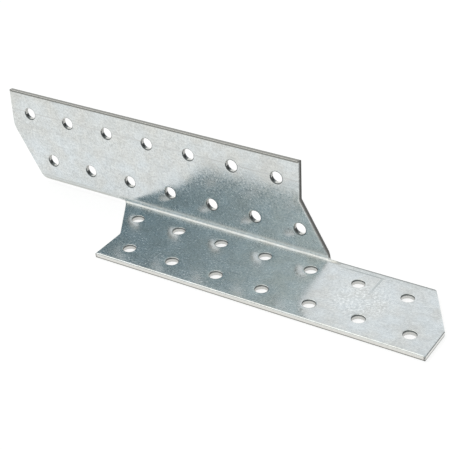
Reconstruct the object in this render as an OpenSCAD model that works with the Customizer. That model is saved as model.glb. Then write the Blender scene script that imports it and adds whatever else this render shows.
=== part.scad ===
// Rafter and purlin anchor: one zigzag blank of galvanised sheet, folded square along its middle.
// Each leg carries two staggered rows of nail holes. The legs are set off along the fold, so that one
// is nailed to the side of the lower timber and the other to the side of the timber that crosses it.
// Frame: X runs along the fold, the upright leg stands at the back of the part, and the foot leg lies
// on Z = 0 and reaches towards -Y. The origin is the middle of the part's footprint.

/* [Sheet] */
// Thickness of the sheet
sheet_t = 2; // [1.5:0.25:3]
// Inside radius of the fold
fold_r = 2; // [1:0.5:4]
// Depth of the layer that the fold leaves at its length, as a share of the thickness
k_factor = 0.4; // [0.33:0.01:0.5]
// Radius that shearing rolls over at the edges of the inner faces
edge_roll = 0.3; // [0.1:0.05:0.5]

/* [Legs] */
// Length of a leg along the fold
leg_len = 140; // [100:5:200]
// Outside width of a leg, from the back of the fold to its free edge
leg_w = 41; // [36:0.5:60]
// How far the foot leg is set along the fold from the upright leg
leg_shift = 70; // [50:5:90]

/* [End cut] */
// Angle of the slanted end, away from square to the fold
slant = 30; // [15:1:40]
// Distance along the sheet from the fold line to the knee, where the slant meets the square end
knee_dist = 22.6; // [18:0.2:28]
// Rounding of the upright leg's outward knee
upright_knee_r = 9; // [1:0.5:12]
// Rounding where the upright leg's slanted end meets its slit edge
upright_toe_r = 4.5; // [1:0.5:5]
// Rounding of the upright leg's inward knee
upright_notch_r = 1; // [0.5:0.5:6]
// Rounding of the foot leg's outward knee
foot_knee_r = 1; // [1:0.5:12]
// Rounding where the foot leg's slanted end meets its slit edge
foot_toe_r = 1.5; // [1:0.5:5]
// Rounding of the foot leg's inward knee
foot_notch_r = 3; // [0.5:0.5:6]
// Rounding in both crotches, where the slit edge of one leg runs into the slanted end of the other
crotch_r = 1.5; // [0.5:0.25:2.5]
// Length over which a slit edge comes back from the fold's curve to the flat
curl_len = 3.6; // [2.4:0.6:6]
// How much thinner the sheet is drawn where that curl leaves the fold
curl_thin = 0.12; // [0.08:0.02:0.2]

/* [Nail holes] */
// Diameter of a punched hole at its land
hole_d = 5; // [3:0.5:7]
// Distance between neighbouring holes of a row
pitch = 20; // [16:1:30]
// Distance along the sheet from the fold line to the near row
near_row = 10; // [9:0.5:14]
// Distance between the two rows of a leg
row_gap = 20; // [12:1:24]
// Least distance from a square end to the middle of a hole
end_margin = 10; // [8:1:20]
// Radius that the punch rolls over at the rim of each hole
rim_roll = 0.35; // [0.1:0.05:0.6]
// Depth of the torn zone on the die side of each hole
tear_depth = 0.6; // [0.2:0.1:1]
// How far the torn zone opens out on each side
tear_flare = 0.12; // [0.05:0.01:0.2]

/* [Hidden] */
$fn = 96;
ZINC = "#c9cfd0";
// Each leg's share of the fold, half of a right angle, and the least bend that a curl is drawn with
leg_bend = 45;
least_bend = 0.01;
// Half of the sheet that the fold takes up, and the fold's outer tangent line, from the outer face
half_fold = leg_bend * PI / 180 * (fold_r + k_factor * sheet_t);
setback = fold_r + sheet_t;
// Heights above the outer face of the other leg: the slit edge, the knee and the two rows
slit_h = setback - half_fold;
knee_h = slit_h + knee_dist;
near_h = slit_h + near_row;
far_h = near_h + row_gap;
// Ends of the fold, counted along a leg from its free end, to a hundredth so that neighbours meet.
// It runs past both crotches by more than their rounding takes up.
slant_run = knee_dist * tan(slant);
past_crotch = 1.2 * crotch_r;
fold_near = round(100 * (leg_shift - slant_run - past_crotch)) / 100;
fold_far = round(100 * (leg_len + slant_run + past_crotch)) / 100;
curl_near = fold_near - curl_len;
// Where the slanted end would meet the other leg's outer face
slant_end = leg_len + knee_h * tan(slant);
holes_per_row = floor((leg_len - 2 * end_margin) / pitch) + 1;
overall_len = leg_len + leg_shift;
// The rolled edge's arc is struck from this far inside the corner, both ways
roll_centre = 1.25 * edge_roll;
// Before the fold the rolled edge is led off the sheet along an arc of this radius, within this run
lead_r = 2;
lead_run = 1.1 * sqrt(edge_roll * (edge_roll + 2 * lead_r));
// Stations along a curl, and steps around it
CURL_STATIONS = 12;
CURL_STEPS = 8;
// Run-out of a cutting tool past the face that it cuts
clear = 1;
// An arc crosses the side that it runs into by the ease, so that the two don't only touch
ease = 0.005;
// The curved stretches of a tool reach this far into the straight ones, and cut shallower by the ease
lap = 0.05;

function unit(v) = v / norm(v);
function half_corner(a, b, c) = acos(unit(a - b) * unit(unit(a - b) + unit(c - b)));
// From a corner to where an arc of radius r touches its sides, and to that arc's centre
function tangent_run(a, b, c, r) = r / tan(half_corner(a, b, c));
function arc_centre(a, b, c, r) = b + unit(unit(a - b) + unit(c - b)) * r / sin(half_corner(a, b, c));

// The ground between corner b and the arc of radius r inside it, reaching depth past the corner.
// Taken off an outward corner or added in an inward one, it leaves an arc that runs into both sides.
module corner_patch(a, b, c, r, depth = clear) {
    run = tangent_run(a, b, c, r);
    centre = arc_centre(a, b, c, r);
    start = b + run * unit(a - b);
    end = b + run * unit(c - b);
    apex = b + unit(b - centre) * depth / sin(half_corner(a, b, c));
    difference() {
        polygon([centre, start + depth * unit(start - centre), apex, end + depth * unit(end - centre)]);
        translate(arc_centre(a, b, c, r - ease)) circle(r);
    }
}

// A leg's outline, seen square to its face: X from its free end, Y from the other leg's outer face.
// Below the slit edge it takes in the leg's half of the fold.
module leg_outline(knee_r, toe_r, notch_r) {
    free_top = [0, leg_w];
    knee = [0, knee_h];
    toe = [slant_run, slit_h];
    slit_end = [fold_near, slit_h];
    notch = [leg_len, knee_h];
    far_top = [leg_len, leg_w];
    difference() {
        union() {
            polygon([free_top, knee, toe, slit_end, [fold_near, 0], [slant_end, 0], notch, far_top]);
            corner_patch(far_top, notch, [slant_end, 0], notch_r);
        }
        corner_patch(free_top, knee, toe, knee_r);
        corner_patch(knee, toe, slit_end, toe_r);
    }
}

// Turns a shape drawn in XY, with its thickness along Z, so that it stands with its back on Y = 0.
module stand_up() {
    rotate([90, 0, 0]) children();
}

// The corner that shearing rolls over, drawn square to the edge: X out of the sheet, Y out of its face.
// Its arc leaves the face and meets the edge at a slight angle, as a sheared edge does.
module rolled_corner() {
    translate([-roll_centre, -roll_centre])
        difference() {
            square(roll_centre + edge_roll);
            circle(norm([roll_centre, roll_centre - edge_roll]));
        }
}

// Takes the rolled corner along a path of [point, radius], with the sheet on the path's left.
module roll_along(path) {
    last = len(path) - 1;
    function run_at(i) =
        i == 0 || i == last ? 0
        : path[i][1] == 0 ? -clear
        : tangent_run(path[i - 1][0], path[i][0], path[i + 1][0], path[i][1]);
    for (i = [0 : last - 1]) {
        way = unit(path[i + 1][0] - path[i][0]);
        start = path[i][0] + run_at(i) * way;
        end = path[i + 1][0] - run_at(i + 1) * way;
        multmatrix([[way.y, 0, -way.x, end.x], [-way.x, 0, -way.y, end.y], [0, 1, 0, sheet_t]])
            linear_extrude(norm(end - start)) rolled_corner();
    }
    for (i = [1 : last - 1])
        if (path[i][1] > 0) {
            a = path[i - 1][0];
            b = path[i][0];
            c = path[i + 1][0];
            r = path[i][1];
            centre = arc_centre(a, b, c, r);
            outward = cross(b - a, c - b) > 0;
            start = b + run_at(i) * unit((outward ? a : c) - b) - centre;
            lap_angle = lap / r * 180 / PI;
            translate([centre.x, centre.y, sheet_t + ease])
                rotate([0, 0, atan2(start.y, start.x) - lap_angle])
                    rotate_extrude(angle = 180 - 2 * half_corner(a, b, c) + 2 * lap_angle)
                        translate([r, 0]) mirror([outward ? 0 : 1, 0]) translate([ease, 0]) rolled_corner();
        }
}

// The rolled edge of one leg, from the fold round to the curl of its slit edge.
module leg_roll(knee_r, toe_r, notch_r) {
    up_slant = [-sin(slant), cos(slant)];
    out_of_slant = [cos(slant), sin(slant)];
    lead_on = [slant_end, 0] + up_slant * (setback / cos(slant) + lead_run - lead_r);
    lead_off = [curl_near - lead_run + lead_r, slit_h];
    roll_along([
        [lead_on + (lead_r + clear) * out_of_slant, 0],
        [lead_on, lead_r],
        [[leg_len, knee_h], notch_r],
        [[leg_len, leg_w], 0],
        [[0, leg_w], 0],
        [[0, knee_h], knee_r],
        [[slant_run, slit_h], toe_r],
        [lead_off, lead_r],
        [lead_off - [0, lead_r + clear], 0]
    ]);
}

// A stretch of the fold about its axis, of the given angle, from the upright leg's side.
module fold_arc(angle) {
    translate([fold_far, -setback, setback])
        rotate([-90, 0, 0])
            rotate([0, -90, 0])
                rotate_extrude(angle = angle)
                    translate([fold_r, 0]) square([sheet_t, fold_far - fold_near]);
}

// Past the fold the leg runs on flat. Its slit edge comes back to the flat along this loft, in which
// the bend angle eases off while the length of the sheet around the bend stays the same.
module slit_curl() {
    rows = CURL_STATIONS;
    steps = CURL_STEPS;
    function bend(i) = max(leg_bend / 2 * (1 + cos(180 * i / rows)), least_bend);
    function point(i, j, side) =
        let (
            outer_r = half_fold * 180 / PI / bend(i) + (1 - k_factor) * sheet_t,
            skin_r = outer_r - side * sheet_t + (side - 0.5) * curl_thin * bend(i) / bend(0),
            a = bend(i) * j / steps
        )
        [fold_near - curl_len * i / rows, skin_r * cos(a) - outer_r, setback - skin_r * sin(a)];
    points = [for (side = [0, 1], i = [0 : rows], j = [0 : steps]) point(i, j, side)];
    inner = (rows + 1) * (steps + 1);
    function at(i, j) = i * (steps + 1) + j;
    function quad(a, b, c, d) = [[a, b, c], [a, c, d]];
    skin = [for (i = [0 : rows - 1], j = [0 : steps - 1])
        each concat(
            quad(at(i, j), at(i + 1, j), at(i + 1, j + 1), at(i, j + 1)),
            quad(inner + at(i, j), inner + at(i, j + 1), inner + at(i + 1, j + 1), inner + at(i + 1, j))
        )];
    sides = [for (i = [0 : rows - 1])
        each concat(
            quad(at(i, 0), inner + at(i, 0), inner + at(i + 1, 0), at(i + 1, 0)),
            quad(at(i, steps), at(i + 1, steps), inner + at(i + 1, steps), inner + at(i, steps))
        )];
    ends = [for (j = [0 : steps - 1])
        each concat(
            quad(at(0, j), at(0, j + 1), inner + at(0, j + 1), inner + at(0, j)),
            quad(at(rows, j), inner + at(rows, j), inner + at(rows, j + 1), at(rows, j + 1))
        )];
    polyhedron(points, concat(skin, sides, ends));
}

// The sheet of one leg with its half of the fold, up to the plane that halves the angle.
module leg_sheet(knee_r, toe_r, notch_r) {
    stand_up()
        linear_extrude(sheet_t)
            difference() {
                leg_outline(knee_r, toe_r, notch_r);
                translate([curl_near, -clear]) square([fold_far - curl_near, setback + clear]);
            }
    slit_curl();
    intersection() {
        fold_arc(leg_bend);
        stand_up() linear_extrude(setback) leg_outline(knee_r, toe_r, notch_r);
    }
}

// Fills the crotch at the leg's far end with a round that is tangent to the leg's slanted end and to
// the other leg's slit edge, which lies in the plane that halves the angle.
module crotch_fillet() {
    slant_normal = [cos(slant), 0, sin(slant)];
    slit_normal = unit([0, 1, 1]);
    along = unit(cross(slant_normal, slit_normal));
    side = cross(slit_normal, along);
    opening = 180 - acos(slant_normal * slit_normal);
    past_fold = 3 * setback;
    into_sheet = sheet_t / 4;
    intersection() {
        fold_arc(2 * leg_bend);
        multmatrix([
            [side.x, slit_normal.x, along.x, slant_end],
            [side.y, slit_normal.y, along.y, 0],
            [side.z, slit_normal.z, along.z, 0]
        ])
            linear_extrude(past_fold, center = true)
                corner_patch([1, 0], [0, 0], [cos(opening), sin(opening)], crotch_r, into_sheet);
    }
}

// The punch for one hole, from the inner face: a rolled rim, the land, then the torn zone.
module hole_punch() {
    r = hole_d / 2;
    rotate_extrude() {
        polygon([
            [0, -clear], [r + tear_flare, -clear], [r + tear_flare, 0], [r, tear_depth],
            [r, sheet_t + clear], [0, sheet_t + clear]
        ]);
        corner_patch([r + clear, sheet_t], [r, sheet_t], [r, 0], rim_roll);
    }
}

// The two staggered rows of holes of a leg. The near row sits half a pitch towards the fold's middle.
module hole_rows() {
    row_start = (leg_len - (holes_per_row - 1) * pitch) / 2;
    for (i = [0 : holes_per_row - 1]) {
        translate([row_start + i * pitch, far_h]) hole_punch();
        translate([row_start + (i + 0.5) * pitch, near_h]) hole_punch();
    }
}

module leg(knee_r, toe_r, notch_r) {
    difference() {
        union() {
            leg_sheet(knee_r, toe_r, notch_r);
            crotch_fillet();
        }
        stand_up() hole_rows();
        stand_up() leg_roll(knee_r, toe_r, notch_r);
    }
}

// The whole sheet. Half a turn about the line that halves the angle carries one leg onto the other.
module nail_plate() {
    color(ZINC)
        translate([0, leg_w / 2, 0]) {
            translate([-overall_len / 2, 0, 0])
                leg(upright_knee_r, upright_toe_r, upright_notch_r);
            rotate(a = 180, v = [0, -1, 1])
                translate([-overall_len / 2, 0, 0])
                    leg(foot_knee_r, foot_toe_r, foot_notch_r);
        }
}

nail_plate();
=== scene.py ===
import math

import bmesh
import bpy
import numpy as np
from mathutils import Matrix, Vector


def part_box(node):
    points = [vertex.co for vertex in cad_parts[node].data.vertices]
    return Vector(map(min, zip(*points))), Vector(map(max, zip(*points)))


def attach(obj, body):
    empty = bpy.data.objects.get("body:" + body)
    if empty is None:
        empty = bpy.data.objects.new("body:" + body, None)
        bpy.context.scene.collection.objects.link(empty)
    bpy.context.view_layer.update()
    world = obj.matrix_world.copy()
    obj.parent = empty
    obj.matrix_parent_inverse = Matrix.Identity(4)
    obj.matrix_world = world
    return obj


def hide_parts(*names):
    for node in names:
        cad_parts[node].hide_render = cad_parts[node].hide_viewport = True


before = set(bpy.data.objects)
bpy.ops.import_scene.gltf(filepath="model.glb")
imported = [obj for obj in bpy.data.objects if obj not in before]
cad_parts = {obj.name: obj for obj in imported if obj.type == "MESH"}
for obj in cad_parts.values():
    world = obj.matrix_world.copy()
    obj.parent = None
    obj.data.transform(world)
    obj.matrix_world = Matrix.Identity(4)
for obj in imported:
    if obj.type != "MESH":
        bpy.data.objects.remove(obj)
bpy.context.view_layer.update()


# ---- The blank ------------------------------------------------------------------------------------
# The whole part is one zigzag blank of 2 mm galvanised strip, sheared to its outline on a press.
# It is drawn flat here, in millimetres: x runs along the fold and s across the sheet, 0 on the fold
# line. The upright leg's half, turned by half a turn, is the foot leg's, but for its corner radii.
MM = 0.001
box_low, box_high = (np.array(corner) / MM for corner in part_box("nail_plate"))
BACK_Y = box_high[1]
LEG_W = box_high[2] - box_low[2]
HALF_LEN = (box_high[0] - box_low[0]) / 2
LEG_SHIFT = 70
SHEET_T, FOLD_R, K_FACTOR = 2, 2, 0.4
SETBACK = SHEET_T + FOLD_R
# The length of sheet that the fold takes on each side of its middle, and a slit edge's height
HALF_FOLD = math.pi / 4 * (FOLD_R + K_FACTOR * SHEET_T)
SLIT_Z = SETBACK - HALF_FOLD
BLANK_W = LEG_W - SLIT_Z
KNEE_S, SLANT = 22.6, math.radians(30)
SLANT_RUN = KNEE_S * math.tan(SLANT)
TOE_HALF, KNEE_HALF = (math.pi / 2 + SLANT) / 2, (math.pi - SLANT) / 2
CROTCH_R = 1.5
NOTCH_X = HALF_LEN - LEG_SHIFT
UPRIGHT_RADII = {"knee_r": 9, "toe_r": 4.5, "notch_r": 1}
FOOT_RADII = {"knee_r": 1, "toe_r": 1.5, "notch_r": 3}
# Lines along a leg that the mesh follows: just clear of the fold, and between the rows of holes
STRIP_S, ROW_S = 4.5, 20
# Where a slit edge leaves the fold's curve, where it is flat, and the end of the mesh's fine steps
CURL_START, CURL_END, CALM_X = -49.85, -53.45, -56.25
# Steps along each run of a leg's rim, and the places between them that the mesh is tied to
RIM_STEPS = (24, 27, 8, 14, 12, 2, 6, 8, 112, 8, 6, 2, 12, 8, 10)
run_ends = np.cumsum(RIM_STEPS)
TOE_MID = run_ends[1] + RIM_STEPS[2] // 2
STRIP_L, ROW_L, EDGE_L, EDGE_R, ROW_R, STRIP_R, LEG_END = run_ends[[3, 4, 7, 8, 11, 12, 14]]


def stretch(a, b, n):
    """n equal steps along the straight line from a to b, without b itself."""
    return np.linspace(np.array(a, float), np.array(b, float), n + 1)[:-1]


def rounded(a, b, c, r, n):
    """The arc of radius r that touches lines a-b and b-c, in n equal steps of angle, without its
    end. Its centre lies on the line that halves the corner, r over the sine of the half angle from
    b."""
    a, b, c = (np.array(p, float) for p in (a, b, c))
    to_a, to_c = (v / np.linalg.norm(v) for v in (a - b, c - b))
    middle = (to_a + to_c) / np.linalg.norm(to_a + to_c)
    half = math.acos(to_a @ middle)
    side = (to_c - to_a) / np.linalg.norm(to_c - to_a)
    turn = np.linspace(half - math.pi / 2, math.pi / 2 - half, n + 1)[:-1, None]
    return b + middle * r / math.sin(half) + r * (np.sin(turn) * side - np.cos(turn) * middle)


def touch(b, c, r, half):
    """Where an arc of radius r rounding corner b leaves for c: r over the tangent of the half
    angle."""
    b, c = np.array(b, float), np.array(c, float)
    return b + (c - b) / np.linalg.norm(c - b) * r / math.tan(half)


def leg_rim(knee_r, toe_r, notch_r):
    """One leg's sheared rim, with the sheet on its right: slit edge, toe, slanted end, knee, square
    end, free edge, square end, notch, slanted end and the crotch's round, as straight runs and
    arcs."""
    toe, knee, free_l = (SLANT_RUN - HALF_LEN, 0), (-HALF_LEN, KNEE_S), (-HALF_LEN, BLANK_W)
    crotch, notch, free_r = (NOTCH_X + SLANT_RUN, 0), (NOTCH_X, KNEE_S), (NOTCH_X, BLANK_W)
    toe_end = lambda s: (toe[0] - s * math.tan(SLANT), s)
    crotch_end = lambda s: (crotch[0] - s * math.tan(SLANT), s)
    slit_start = touch((-crotch[0], 0), toe, CROTCH_R, TOE_HALF)
    n = iter(RIM_STEPS)
    return np.vstack([
        stretch(slit_start, (CALM_X, 0), next(n)),
        stretch((CALM_X, 0), touch(toe, (0, 0), toe_r, TOE_HALF), next(n)),
        rounded((0, 0), toe, knee, toe_r, next(n)),
        stretch(touch(toe, knee, toe_r, TOE_HALF), toe_end(STRIP_S), next(n)),
        stretch(toe_end(STRIP_S), toe_end(ROW_S), next(n)),
        stretch(toe_end(ROW_S), touch(knee, toe, knee_r, KNEE_HALF), next(n)),
        rounded(toe, knee, free_l, knee_r, next(n)),
        stretch(touch(knee, free_l, knee_r, KNEE_HALF), free_l, next(n)),
        stretch(free_l, free_r, next(n)),
        stretch(free_r, touch(notch, free_r, notch_r, KNEE_HALF), next(n)),
        rounded(free_r, notch, crotch, notch_r, next(n)),
        stretch(touch(notch, crotch, notch_r, KNEE_HALF), crotch_end(ROW_S), next(n)),
        stretch(crotch_end(ROW_S), crotch_end(STRIP_S), next(n)),
        stretch(crotch_end(STRIP_S), touch(crotch, notch, CROTCH_R, TOE_HALF), next(n)),
        rounded(notch, crotch, (HALF_LEN, 0), CROTCH_R, next(n)),
    ])


rim = np.vstack([leg_rim(**UPRIGHT_RADII), -leg_rim(**FOOT_RADII)])


def inset(path, by):
    """A closed path moved to the right of its way by a distance: each point goes along the line that
    halves its corner, by the distance over the cosine of half the turn."""
    step = np.roll(path, -1, axis=0) - path
    step /= np.linalg.norm(step, axis=1)[:, None]
    way = step + np.roll(step, 1, axis=0)
    way /= np.linalg.norm(way, axis=1)[:, None]
    to_right = np.stack([way[:, 1], -way[:, 0]], axis=1)
    return path + by * to_right / np.sum(way * step, axis=1)[:, None]


def patch(bottom, top, left, right):
    """A grid between four edges: the sum of the two rulings less the plane through the corners."""
    u = np.linspace(0, 1, len(bottom))[None, :, None]
    v = np.linspace(0, 1, len(left))[:, None, None]
    ruled = (1 - v) * bottom[None] + v * top[None] + (1 - u) * left[:, None] + u * right[:, None]
    low_side, high_side = ((1 - u) * edge[0] + u * edge[-1] for edge in (bottom, top))
    return ruled - (1 - v) * low_side - v * high_side


def column(a, b, n):
    """n equal steps along the straight line from a to b, both ends included."""
    return np.linspace(a, b, n + 1)


# Steps along the two lines: fine where a slit edge curls and in the crotch
STEP, FINE = 1.25, 0.3125
STRIP_X = np.concatenate([np.arange(-93.75, CALM_X, STEP), np.arange(CALM_X, -45, FINE),
                          np.arange(-45, 41.25, STEP), np.arange(41.25, 44.8, FINE)])
ROW_X = np.arange(-102.5, 35.1, STEP)
# The strip beside a slit has as many steps as the slit edge has up to the toe's middle
STRIP_END = TOE_MID


def strip_line(leg):
    """The line along a leg just clear of the fold, from one slanted end to the other."""
    inside = np.stack([STRIP_X, np.full(len(STRIP_X), float(STRIP_S))], axis=1)
    return np.vstack([leg[STRIP_L], inside, leg[STRIP_R]])


def row_line(leg):
    """The line along a leg between its two rows of holes, from one slanted end to the other."""
    inside = np.stack([ROW_X, np.full(len(ROW_X), float(ROW_S))], axis=1)
    return np.vstack([leg[ROW_L], inside, leg[ROW_R]])


# ---- The nail holes -------------------------------------------------------------------------------
# Two staggered rows of seven 5 mm holes in each leg, punched from the face that ends up inside the
# fold. The punch draws the rim down into a small round, and the sheet breaks out on the far face.
HOLE_R, PITCH, HOLES = 2.5, 20, 7
NEAR_X, NEAR_S, FAR_X, FAR_S = -85, 10, -95, 30
# The rolled rim, and the dip that the punch leaves around it: its reach and its depth in each leg
RIM_ROLL = 0.35
DISH_W, UPRIGHT_DISH, FOOT_DISH = 1.15, 0.006, 0.045
# Places of the rings of points between a hole's rim and the loop around it
RINGS = np.array([0, 0.05, 0.14, 0.32, 0.62, 1])
leg_holes = np.array([(x + PITCH * i, s) for x, s in ((NEAR_X, NEAR_S), (FAR_X, FAR_S))
                      for i in range(HOLES)], float)


def hole_loops(leg):
    """For each hole of a leg, near row first, the closed loop of points halfway to its neighbours."""
    strip, row = strip_line(leg), row_line(leg)
    index_at = lambda line, x: int(np.argmin(np.abs(line[:, 0] - x)))
    per_hole = (EDGE_R - EDGE_L) // HOLES
    loops = []
    for first_x, under, rise in ((NEAR_X, strip, ROW_L - STRIP_L), (FAR_X, row, EDGE_L - ROW_L)):
        for i in range(HOLES):
            x0, x1 = first_x + PITCH * (i - 0.5), first_x + PITCH * (i + 0.5)
            start, end = i == 0, i == HOLES - 1
            span = lambda line: slice(0 if start else index_at(line, x0),
                                      len(line) if end else index_at(line, x1) + 1)
            bottom = under[span(under)]
            if under is strip:
                top = row[span(row)]
                left, right = leg[STRIP_L:ROW_L + 1], leg[ROW_R:STRIP_R + 1][::-1]
            else:
                top = leg[EDGE_L + per_hole * i:EDGE_L + per_hole * (i + 1) + 1]
                left, right = leg[ROW_L:EDGE_L + 1], leg[EDGE_R:ROW_R + 1][::-1]
            left = left if start else column(bottom[0], top[0], rise)
            right = right if end else column(bottom[-1], top[-1], rise)
            loops.append(np.vstack([bottom[:-1], right[:-1], top[::-1][:-1], left[::-1][:-1]]))
    return loops


spokes = [loop - middle for loop, middle in zip(hole_loops(rim), leg_holes)]
# The unit directions from each hole's middle to its loop, which set the steps around its rim
hole_rays = [spoke / np.linalg.norm(spoke, axis=1)[:, None] for spoke in spokes]


# ---- The sheet ------------------------------------------------------------------------------------
# Both faces, the sheared edge and the hole walls close into one shell, which is then folded square
# in a press brake. The fold takes up its neutral length on each side, and the slit edges, which the
# fold doesn't hold, curl back to the flat past the crotches.
ROLL_W, ROLL_H = 0.6, 0.38
quarter = np.radians(np.linspace(0, 90, 6))


def rolled(width, height):
    """A quarter of an ellipse from the inner face down into a cut: distance in, height over the
    outer face."""
    return np.stack([width * (1 - np.sin(quarter)), SHEET_T - height * (1 - np.cos(quarter))], axis=1)


# Inset from the sheared rim, or distance out from the hole's land, against height over the outer face
rim_profile = np.vstack([
    rolled(ROLL_W, ROLL_H), [(0, 1.05), (0.035, 0.98), (0.06, 0.5), (0.07, 0.1), (0.11, 0)]])
hole_profile = np.vstack([
    rolled(RIM_ROLL, RIM_ROLL), [(0, 1.35), (0.02, 0.6), (0.06, 0.3), (0.11, 0.05), (0.16, 0)]])
# The finishes, in the order of the mesh's material slots
ZINC, LAND, TORN, CRUSHED_AND_SHADE, SLUG_AND_HIGHLIGHT, SMEARED_AND_HIGHLIGHT = range(6)
points, quads, slots = [], [], []


def add_grid(flat, height, slot=ZINC, closed=False):
    """Adds a grid of points of the blank at their heights over the outer face, and the quads that
    join each point to the next one along and the next row. A closed grid's rows run round."""
    rows, cols = flat.shape[:2]
    base = sum(len(p) for p in points)
    points.append(np.dstack([flat, np.broadcast_to(height, (rows, cols))]).reshape(-1, 3))
    i, j = np.meshgrid(np.arange(rows - 1), np.arange(cols if closed else cols - 1), indexing="ij")
    this_row, next_row, next_j = i * cols, (i + 1) * cols, (j + 1) % cols
    corners = [this_row + j, this_row + next_j, next_row + next_j, next_row + j]
    quads.append(base + np.stack(corners, axis=-1).reshape(-1, 4))
    slots.append(np.broadcast_to(slot, i.shape).reshape(-1))


def add_face(by, hole_r, height, seam_steps=18):
    """One face of the sheet: rings round each hole, a strip beside each slit and the fold between."""
    path = inset(rim, by)
    legs = [path, -np.roll(path, -LEG_END, axis=0)]
    strips = [strip_line(leg) for leg in legs]
    seams = [column(leg[0], strip[STRIP_END], seam_steps) for leg, strip in zip(legs, strips)]
    for way, leg, strip, seam in zip((1, -1), legs, strips, seams):
        for loop, ray, middle in zip(hole_loops(leg), hole_rays, leg_holes):
            circle = middle + hole_r * ray
            ring = RINGS[:, None, None]
            add_grid(way * ((1 - ring) * circle + ring * loop), height, closed=True)
        slit, slanted_end = leg[:TOE_MID + 1][::-1], leg[TOE_MID:STRIP_L + 1]
        add_grid(way * patch(slit, strip[:STRIP_END + 1], slanted_end, seam), height)
    left = np.vstack([-legs[1][STRIP_R:LEG_END], seams[0]])
    right = np.vstack([-seams[1][::-1], legs[0][STRIP_R:LEG_END][::-1]])
    add_grid(patch(-strips[1][STRIP_END:][::-1], strips[0][STRIP_END:], left, right), height)


add_face(rim_profile[0, 0], HOLE_R + hole_profile[0, 0], rim_profile[0, 1])
add_face(rim_profile[-1, 0], HOLE_R + hole_profile[-1, 0], rim_profile[-1, 1])

# The sheared rim goes from zinc to land to break at these steps of its profile. In the upright the
# break starts higher, and along its free edge the zinc is torn too. The foot's slit edge is crushed
# down to its land, in the crushed rim's painted shade, and from its toe on the land runs nearly to
# the outer face. How far each band runs is listed here.
ZINC_STEPS, LAND_STEPS = 4, 6
CURLED_STEPS, BURR_STEPS = 12, 2
bands = np.array([ZINC] * ZINC_STEPS + [LAND] * (LAND_STEPS - ZINC_STEPS)
                 + [TORN] * (len(rim_profile) - 1 - LAND_STEPS))
rim_slots = np.repeat(bands[:, None], len(rim), axis=1)
rim_slots[ZINC_STEPS + 1:, :LEG_END] = TORN
rim_slots[:ZINC_STEPS, EDGE_L:EDGE_R] = TORN
rim_slots[:LAND_STEPS, LEG_END + CURLED_STEPS:LEG_END + TOE_MID] = CRUSHED_AND_SHADE
rim_slots[LAND_STEPS:-BURR_STEPS, LEG_END + TOE_MID:] = LAND
rims = np.stack([inset(rim, by) for by in rim_profile[:, 0]])
add_grid(rims, rim_profile[:, 1][:, None], rim_slots, closed=True)

# Down a hole's wall the punch crushes the rim, whose dark tone is painted shade. In the upright the
# rest is smeared zinc, whose near-white is partly a painted highlight, and in the foot the slug broke
# out cleanly below. Each of the upright's holes also has a painted highlight high on the left of its
# rim and painted shade low on the left of its wall, between these bearings in degrees. They are set
# by eye, and their cause isn't known: a punch off centre in its die would leave such sides.
ROLL_STEPS = len(quarter) - 1
LOWER_STEPS = len(hole_profile) - 1 - ROLL_STEPS
UPRIGHT_WALL = [CRUSHED_AND_SHADE] * ROLL_STEPS + [SMEARED_AND_HIGHLIGHT] * LOWER_STEPS
FOOT_WALL = [ZINC] * 2 + [CRUSHED_AND_SHADE] * 4 + [SLUG_AND_HIGHLIGHT] * 4
PAINTED_HIGHLIGHT_SIDE, PAINTED_SHADE_SIDE = (90, 165), (193, 246)
for way, wall_bands in ((1, UPRIGHT_WALL), (-1, FOOT_WALL)):
    for ray, middle in zip(hole_rays, leg_holes):
        walls = middle + (HOLE_R + hole_profile[:, 0])[:, None, None] * ray
        wall_slots = np.repeat(np.array(wall_bands)[:, None], len(ray), axis=1)
        if way == 1:
            bearing = np.degrees(np.arctan2(ray[:, 1], ray[:, 0])) % 360
            # Painted highlight on the rim's upper left, and painted shade on the wall's lower left
            wall_slots[:ROLL_STEPS, (bearing > PAINTED_HIGHLIGHT_SIDE[0]) & (bearing < PAINTED_HIGHLIGHT_SIDE[1])] = SLUG_AND_HIGHLIGHT
            wall_slots[:, (bearing > PAINTED_SHADE_SIDE[0]) & (bearing < PAINTED_SHADE_SIDE[1])] = CRUSHED_AND_SHADE
        add_grid(way * walls, hole_profile[:, 1][:, None], wall_slots, closed=True)


def lay(x, s, w, wave_h=0.015):
    """The sheet isn't dead flat: two slow sine waves of a few hundredths cross it, which die out
    over 6 mm towards the fold, and the punched face dips towards each hole by a bell curve of the
    distance from the rim."""
    holes = np.vstack([leg_holes, -leg_holes])
    from_middle = np.min(np.hypot(x[:, None] - holes[:, 0], s[:, None] - holes[:, 1]), axis=1)
    from_rim = np.maximum(from_middle - HOLE_R - RIM_ROLL, 0)
    depth = np.where(s > 0, UPRIGHT_DISH, FOOT_DISH)
    dip = depth * np.exp(-(from_rim / DISH_W) ** 2) * w / SHEET_T
    clear_of_fold = np.clip((np.abs(s) - STRIP_S) / 6, 0, 1)
    wave = wave_h * (2 + np.sin(x / 13.7 + 0.6) + np.sin(s / 6.1 + x / 31)) * clear_of_fold
    return w - dip + wave


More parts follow.
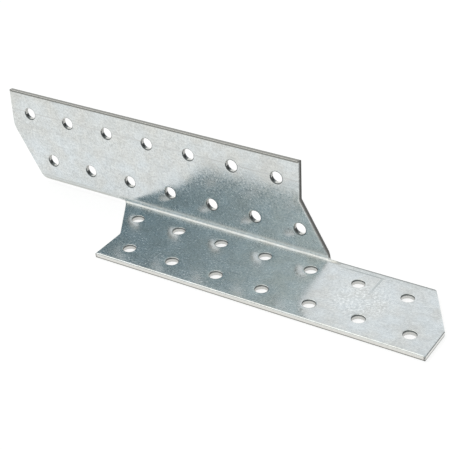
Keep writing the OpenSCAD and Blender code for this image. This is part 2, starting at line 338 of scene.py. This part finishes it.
def fold(x, s, w, least_bend=0.0002):
    """Folds the blank. Each leg is flat past the bend line and turns by up to half a right angle
    before it, about an axis that keeps the neutral layer's length. Along a slit the angle eases off
    by a cosine. A leg's own frame has its outer face on y = 0 and its height over the other leg's
    outer face in z, and half a turn about the line that halves the corner carries it to the foot."""
    leg = np.where((s > 0) | ((s == 0) & (x < 0)), 1, -1)
    along, across = leg * x, np.abs(s)
    eased = np.clip((CURL_START - along) / (CURL_START - CURL_END), 0, 1)
    bend = np.maximum(math.pi / 8 * (1 + np.cos(math.pi * eased)), least_bend)
    outer_r = HALF_FOLD / bend + (1 - K_FACTOR) * SHEET_T
    turn = bend * np.clip(1 - across / HALF_FOLD, 0, 1)
    y = (outer_r - w) * np.cos(turn) - outer_r
    z = np.where(across < HALF_FOLD, SETBACK - (outer_r - w) * np.sin(turn), SLIT_Z + across)
    upright = np.stack([along, BACK_Y + y, z], axis=1)
    foot = np.stack([-along, BACK_Y - z, -y], axis=1)
    return np.where(leg[:, None] > 0, upright, foot)


# Points that fall in the same cell of a thousandth of a millimetre are one. The shift keeps the many
# points at round sizes away from the cells' borders.
CELL, SHIFT = 0.001, 0.37
flat, quads, slots = np.vstack(points), np.vstack(quads), np.concatenate(slots)
cells = np.round(flat / CELL + SHIFT).astype(np.int64)
_, kept, merged = np.unique(cells, axis=0, return_index=True, return_inverse=True)
flat, quads = flat[kept], merged.reshape(-1)[quads]
shape = fold(flat[:, 0], flat[:, 1], lay(*flat.T))
mesh = bpy.data.meshes.new("nail_plate_sheet")
mesh.from_pydata(MM * shape, [], quads)
mesh.polygons.foreach_set("material_index", slots)
uv = mesh.uv_layers.new(name="blank")
loop_points = np.empty(len(mesh.loops), np.int32)
mesh.loops.foreach_get("vertex_index", loop_points)
uv.data.foreach_set("uv", (MM * flat[loop_points, :2]).astype(np.float32).ravel())
shell = bmesh.new()
shell.from_mesh(mesh)
bmesh.ops.recalc_face_normals(shell, faces=shell.faces)
shell.to_mesh(mesh)
shell.free()
mesh.shade_smooth()
sheet = bpy.data.objects.new("nail_plate_sheet", mesh)
bpy.context.scene.collection.objects.link(sheet)
weighted = sheet.modifiers.new("Flat faces stay flat", "WEIGHTED_NORMAL")
weighted.keep_sharp = True
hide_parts("nail_plate")
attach(sheet, "root")


# ---- The zinc -------------------------------------------------------------------------------------
# Hot-dip galvanised strip, skin-passed: a pale grey metal with a fine, barely visible grain from the
# temper rolls, faint lines along the rolling direction and small cloudy differences in brightness.
def linear(code):
    """An sRGB hex colour as the linear RGBA that the shaders take."""
    srgb = [int(code[i:i + 2], 16) / 255 for i in (1, 3, 5)]
    return [c / 12.92 if c <= 0.04045 else ((c + 0.055) / 1.055) ** 2.4 for c in srgb] + [1]


def node(tree, kind, links=None, **settings):
    """Adds a node. Settings are its own properties; links name its inputs, each with a value or with
    the socket that feeds it."""
    made = tree.nodes.new(kind)
    for name, value in settings.items():
        setattr(made, name, value)
    for name, value in (links or {}).items():
        if isinstance(value, bpy.types.NodeSocket):
            tree.links.new(value, made.inputs[name])
        else:
            made.inputs[name].default_value = value
    return made


def per_mm(size):
    """Texture scale at which one feature of the pattern measures this many millimetres."""
    return 1 / (size * MM)


# A Mix node's sockets for colours, by number, because its other types have sockets of the same names
MIX_A, MIX_B, MIXED = 6, 7, 2
zinc = bpy.data.materials.new("skin_passed_zinc")
zinc.use_nodes = True
tree = zinc.node_tree
surface = tree.nodes["Principled BSDF"]
blank_uv = node(tree, "ShaderNodeUVMap", uv_map="blank").outputs["UV"]
# The temper rolls' grain is really about 0.2 mm wide, too fine to show, and is drawn as coarse as
# it needs to. The sizes of the crystals, the clouds and the roll lines are listed here.
GRAIN, CRYSTAL, LINE_GAP, LINE_LEN, CLOUD = 0.9, 2.2, 0.7, 60, 9
grain = node(tree, "ShaderNodeTexNoise", {
    "Vector": blank_uv, "Scale": per_mm(GRAIN), "Detail": 1, "Roughness": 0.6}).outputs["Fac"]
cloud = node(tree, "ShaderNodeTexNoise", {
    "Vector": blank_uv, "Scale": per_mm(CLOUD), "Detail": 3, "Roughness": 0.55}).outputs["Fac"]
spangle = node(tree, "ShaderNodeTexVoronoi", {
    "Vector": blank_uv, "Scale": per_mm(CRYSTAL), "Randomness": 1})
crystal = node(tree, "ShaderNodeSeparateColor", {"Color": spangle.outputs["Color"]}).outputs["Red"]
drawn_out = node(tree, "ShaderNodeMapping", {
    "Vector": blank_uv, "Scale": (per_mm(LINE_LEN), per_mm(LINE_GAP), 1)})
roll_line = node(tree, "ShaderNodeTexNoise", {
    "Vector": drawn_out.outputs["Vector"], "Scale": 1, "Detail": 2}).outputs["Fac"]
# Tone, roughness and height each swing about a middle value: every pattern's difference from one
# half is added, times its weight
swings = []
for middle, terms in (
    (0.5, ((grain, 1.7), (cloud, 0.7), (crystal, 0.3), (roll_line, 0.5))),
    (0.2, ((cloud, 0.12), (grain, 0.34))),
    (0.5, ((grain, 1), (roll_line, 0.5))),
):
    total = middle - sum(weight for _, weight in terms) / 2
    for pattern, weight in terms:
        total = node(tree, "ShaderNodeMath", {0: pattern, 1: weight, 2: total},
                     operation="MULTIPLY_ADD").outputs[0]
    swings.append(total)
shade, polish, relief = swings
# The clouds turn the tone from a warmer to a cooler grey
hue = node(tree, "ShaderNodeMapRange", {"Value": cloud, "From Min": 0.38, "From Max": 0.62})
darker = node(tree, "ShaderNodeMix", {
    "Factor": hue.outputs[0], MIX_A: linear("#c2c5c4"), MIX_B: linear("#c0c6c8")}, data_type="RGBA")
paler = node(tree, "ShaderNodeMix", {
    "Factor": hue.outputs[0], MIX_A: linear("#e4e7e5"), MIX_B: linear("#e1e7e9")}, data_type="RGBA")
tone = node(tree, "ShaderNodeMix", {
    "Factor": shade, MIX_A: darker.outputs[MIXED], MIX_B: paler.outputs[MIXED]}, data_type="RGBA")
# A patch of the foot leg has more and brighter flecks than the rest: near-white in the tone, they are
# painted glints. Its place and reach are given here.
PATCH, PATCH_FULL, PATCH_END, FLECK = (71 * MM, -19 * MM, 0), 6 * MM, 17 * MM, 1
from_patch = node(tree, "ShaderNodeVectorMath", {0: blank_uv, 1: PATCH}, operation="DISTANCE")
in_patch = node(tree, "ShaderNodeMapRange", {
    "Value": from_patch.outputs["Value"], "From Min": PATCH_END, "From Max": PATCH_FULL},
    interpolation_type="SMOOTHSTEP")
fleck = node(tree, "ShaderNodeTexNoise", {"Vector": blank_uv, "Scale": per_mm(FLECK), "Detail": 3})
fleck = node(tree, "ShaderNodeMapRange", {
    "Value": fleck.outputs["Fac"], "From Min": 0.5, "From Max": 0.66})
painted_glints = node(tree, "ShaderNodeMath", {0: fleck.outputs[0], 1: in_patch.outputs[0]},
               operation="MULTIPLY")
tone = node(tree, "ShaderNodeMix", {
    "Factor": painted_glints.outputs[0], MIX_A: tone.outputs[MIXED], MIX_B: linear("#f1f5f5")},
    data_type="RGBA")
# Faint marks on the face, and over the foot's curl a patch of painted shade. Each is a band about a
# place on one axis of the blank, with its half width. It fades in along the other axis between two
# places, and stops at a third.
ALONG, ACROSS = 0, 1
spot = node(tree, "ShaderNodeSeparateXYZ", {0: blank_uv}).outputs
for axis, at, half_w, run_axis, fade, full, stop, colour in (
    # Two lines such as the end of a press brake's tool leaves, along the foot's slit and across it
    (ACROSS, -2.95, 0.3, ALONG, 50, 60, 71.7, "#b0b6b6"),
    (ALONG, 71.6, 0.45, ACROSS, -19, -8, -2.6, "#bec4c4"),
    # Painted shade over the foot's curl beside the crotch, which dims the fold's highlight there, and
    # a darker band along the foot's slit edge
    (ACROSS, -1.1, 1.1, ALONG, 47.5, 50, 53.5, "#c3c5c2"),
    (ACROSS, -0.55, 0.5, ALONG, 51, 53, 200, "#adb1b0"),
    # A darker band along the upright's slit edge, and a fainter line beside it
    (ACROSS, 0.6, 0.6, ALONG, -51, -58, 0, "#c8cac7"),
    (ACROSS, 1.85, 0.3, ALONG, -58, -70, 0, "#cacdcb"),
    # A line such as straightening rolls leave, along the whole of the upright's far row
    (ACROSS, 30.7, 0.24, ALONG, -200, -190, 200, "#cacdcd"),
):
    band = node(tree, "ShaderNodeMath", {0: spot[axis], 1: at * MM, 2: half_w * MM},
                operation="COMPARE")
    faded = node(tree, "ShaderNodeMapRange", {
        "Value": spot[run_axis], "From Min": fade * MM, "From Max": full * MM})
    short = node(tree, "ShaderNodeMath", {0: spot[run_axis], 1: stop * MM}, operation="LESS_THAN")
    run = node(tree, "ShaderNodeMath", {0: faded.outputs[0], 1: short.outputs[0]},
               operation="MULTIPLY")
    mark_and_shade = node(tree, "ShaderNodeMath", {0: band.outputs[0], 1: run.outputs[0]},
                operation="MULTIPLY")
    tone = node(tree, "ShaderNodeMix", {
        "Factor": mark_and_shade.outputs[0], MIX_A: tone.outputs[MIXED], MIX_B: linear(colour)},
        data_type="RGBA")
# Over the fold the zinc is stretched and crazed, and so a little rougher
from_fold = node(tree, "ShaderNodeMath", {0: spot[ACROSS]}, operation="ABSOLUTE")
creased = node(tree, "ShaderNodeMapRange", {
    "Value": from_fold.outputs[0], "From Min": 3.8 * MM, "From Max": 1.6 * MM, "To Max": 0.14},
    interpolation_type="SMOOTHSTEP")
polish = node(tree, "ShaderNodeMath", {0: polish, 1: creased.outputs[0]}, operation="ADD")
bump = node(tree, "ShaderNodeBump", {"Height": relief, "Strength": 0.8, "Distance": 0.018 * MM})
tree.links.new(tone.outputs[MIXED], surface.inputs["Base Color"])
tree.links.new(polish.outputs[0], surface.inputs["Roughness"])
tree.links.new(bump.outputs["Normal"], surface.inputs["Normal"])
surface.inputs["Metallic"].default_value = 1
mesh.materials.append(zinc)

# The cut faces. Each has a tone between two colours that follows a noise of one size, in mm, with
# its detail and roughness, then its metallic and roughness, and how strong and deep its relief is.
# Torn and smeared metal is really finer than these sizes, which are as coarse as they need to show.
BARE, OXIDISED = 1, 0
for name, size, detail, rough, dark, bright, metallic, matt, strength, deep in (
    # The land that the shear burnishes: steel with zinc smeared over it, drawn smooth and bright
    ("burnished_land", 1.2, 2, 0.5, "#d0d1ce", "#e4e4e1", BARE, 0.2, 0.4, 0.02),
    # The break below the land, where the sheet tore off: rough bare steel that scatters the light
    ("torn_steel_break", 0.5, 3, 0.7, "#83837f", "#b2b2ae", BARE, 0.5, 0.5, 0.03),
    # The rim of a hole, which the punch crushes and polishes: smooth, and darker than the face by
    # painted shade
    ("crushed_rim_painted_shade", 0.7, 2, 0.5, "#555a5b", "#8a8f8f", BARE, 0.25, 0, 0),
    # The lower wall of a hole, where the slug broke out: a pale and finely torn grey. It also paints
    # a highlight high on the left of each of the upright's hole rims
    ("slug_break_and_highlight", 0.5, 2, 0.5, "#bfc0bd", "#d9d9d6", BARE, 0.4, 0.4, 0.02),
    # Zinc that the punch drags down the wall of a hole: drawn as oxidised, matt and nearly white, the
    # near-white partly a painted highlight
    ("smeared_wall_painted_highlight", 0.6, 2, 0.5, "#efefec", "#fcfcf9", OXIDISED, 0.5, 0.4, 0.02),
):
    finish = bpy.data.materials.new(name)
    finish.use_nodes = True
    tree = finish.node_tree
    surface = tree.nodes["Principled BSDF"]
    place = node(tree, "ShaderNodeTexCoord").outputs["Object"]
    noise = node(tree, "ShaderNodeTexNoise", {
        "Vector": place, "Scale": per_mm(size), "Detail": detail, "Roughness": rough}).outputs["Fac"]
    tone = node(tree, "ShaderNodeMix", {
        "Factor": noise, MIX_A: linear(dark), MIX_B: linear(bright)}, data_type="RGBA")
    tree.links.new(tone.outputs[MIXED], surface.inputs["Base Color"])
    surface.inputs["Metallic"].default_value = metallic
    surface.inputs["Roughness"].default_value = matt
    if strength:
        bump = node(tree, "ShaderNodeBump", {
            "Height": noise, "Strength": strength, "Distance": deep * MM})
        tree.links.new(bump.outputs["Normal"], surface.inputs["Normal"])
    mesh.materials.append(finish)


# ---- The studio -----------------------------------------------------------------------------------
# The part lies on a white floor that runs back to white, under a soft box, in a room that is dim in
# front and to the right. The floor and the backdrop show white, and the floor keeps a faint shadow.
FLOOR_HALF, FLOOR_GAP = 3, 0.0002
x, y = np.meshgrid([-FLOOR_HALF, FLOOR_HALF], [-FLOOR_HALF, FLOOR_HALF])
z = np.full((2, 2), box_low[2] * MM - FLOOR_GAP)
ground = bpy.data.meshes.new("floor")
ground.from_pydata(np.stack([x, y, z], axis=-1).reshape(-1, 3), [], [(0, 1, 3, 2)])
floor = bpy.data.objects.new("floor", ground)
bpy.context.scene.collection.objects.link(floor)
# Matt white paper, which also glows where the camera, gloss or glass sees it, so that it shows white
paper = bpy.data.materials.new("white_paper_floor")
paper.use_nodes = True
tree = paper.node_tree
tree.nodes.remove(tree.nodes["Principled BSDF"])
seen_by = node(tree, "ShaderNodeLightPath").outputs
seen = node(tree, "ShaderNodeMath", {0: seen_by["Is Camera Ray"], 1: seen_by["Is Glossy Ray"]},
            operation="MAXIMUM")
seen = node(tree, "ShaderNodeMath", {0: seen.outputs[0], 1: seen_by["Is Transmission Ray"]},
            operation="MAXIMUM")
strength = node(tree, "ShaderNodeMath", {0: seen.outputs[0], 1: 0.8}, operation="MULTIPLY")
paper_tone = node(tree, "ShaderNodeMix", {
    "Factor": seen.outputs[0], MIX_A: linear("#ededed"), MIX_B: linear("#9a9a9a")}, data_type="RGBA")
matt = node(tree, "ShaderNodeBsdfDiffuse", {"Color": paper_tone.outputs[MIXED]})
glow = node(tree, "ShaderNodeEmission", {"Color": (1, 1, 1, 1), "Strength": strength.outputs[0]})
lit = node(tree, "ShaderNodeAddShader", {0: matt.outputs[0], 1: glow.outputs[0]})
# In front of and behind the part the metal mirrors the room instead of the paper
place = node(tree, "ShaderNodeSeparateXYZ", {
    0: node(tree, "ShaderNodeTexCoord").outputs["Object"]}).outputs
depth = node(tree, "ShaderNodeMath", {0: place["Y"]}, operation="ABSOLUTE")
beyond = node(tree, "ShaderNodeMapRange", {
    "Value": depth.outputs[0], "From Min": 20 * MM, "From Max": 21 * MM},
    interpolation_type="SMOOTHSTEP")
passed = node(tree, "ShaderNodeMath", {0: seen_by["Is Glossy Ray"], 1: beyond.outputs[0]},
              operation="MULTIPLY")
clear = node(tree, "ShaderNodeBsdfTransparent")
both = node(tree, "ShaderNodeMixShader", {
    0: passed.outputs[0], 1: lit.outputs[0], 2: clear.outputs[0]})
tree.links.new(both.outputs[0], tree.nodes["Material Output"].inputs["Surface"])
ground.materials.append(paper)

room = bpy.data.worlds.new("studio")
bpy.context.scene.world = room
room.use_nodes = True
tree = room.node_tree
tree.nodes.clear()
towards_sky = node(tree, "ShaderNodeTexCoord").outputs["Generated"]
# Each part of the room lies in one direction, and comes in smoothly between two cosines with it,
# over the parts before it. The colours are linear levels of light, in which 1 is plain white.
light = (0.06, 0.163, 0.225, 1)
for direction, start, end, colour in (
    # The front: dim on the left, brighter towards the middle
    ((1, 0, 0), -0.62, -0.27, (0.71, 0.84, 0.89, 1)),
    ((1, 0, 0), -0.425, -0.38, (1.15, 1.2, 1.16, 1)),
    # The floor's side, the backdrop, and the ceiling with the soft box in it
    ((0, 0, -1), -0.51, -0.15, (0.74, 0.76, 0.74, 1)),
    ((0, 1, 0), -0.35, 0.4, (1.0, 1.01, 1.02, 1)),
    ((0, 0, 1), 0.6, 0.76, (0.6, 0.62, 0.61, 1)),
    ((-0.468, 0.03, 0.883), 0.84, 0.95, (1.65, 1.6, 1.53, 1)),
    ((0, 0, -1), -0.05, 0.2, (1.04, 1.03, 1.01, 1)),
    # The right, and two dark places behind it
    ((1, 0, 0), 0.15, 0.5, (0.4, 0.4, 0.4, 1)),
    ((0.468, 0.716, -0.519), 0.8, 0.95, (0.25, 0.25, 0.25, 1)),
    ((0.519, 0.716, 0.468), 0.93, 0.99, (0.15, 0.15, 0.15, 1)),
):
    cosine = node(tree, "ShaderNodeVectorMath", {0: towards_sky, 1: direction},
                  operation="DOT_PRODUCT")
    amount = node(tree, "ShaderNodeMapRange", {
        "Value": cosine.outputs["Value"], "From Min": start, "From Max": end},
        interpolation_type="SMOOTHSTEP")
    light = node(tree, "ShaderNodeMix", {
        "Factor": amount.outputs[0], MIX_A: light, MIX_B: colour}, data_type="RGBA").outputs[MIXED]
seen_by = node(tree, "ShaderNodeLightPath").outputs
light = node(tree, "ShaderNodeMix", {
    "Factor": seen_by["Is Camera Ray"], MIX_A: light, MIX_B: (1, 1, 1, 1)}, data_type="RGBA")
sky = node(tree, "ShaderNodeBackground", {"Color": light.outputs[MIXED], "Strength": 1})
node(tree, "ShaderNodeOutputWorld", {"Surface": sky.outputs[0]})

# The camera looks down on the part from its right-hand front, with a long lens.
eye = Vector((236.84, -342.73, 265.91)) * MM
view = Vector((-0.46755, 0.71558, -0.51898)).normalized()
right = Vector((0.85001, 0.52512, -0.04173))
right = (right - right.dot(view) * view).normalized()
up = right.cross(view)
lens = bpy.data.cameras.new("camera")
lens.lens, lens.sensor_width = 101.04, 36
lens.clip_start, lens.clip_end = 0.01, 20
camera = bpy.data.objects.new("camera", lens)
camera.matrix_world = Matrix.Translation(eye) @ Matrix((right, up, -view)).transposed().to_4x4()
bpy.context.scene.collection.objects.link(camera)
bpy.context.scene.camera = camera
bpy.context.scene.view_settings.view_transform = "Standard"
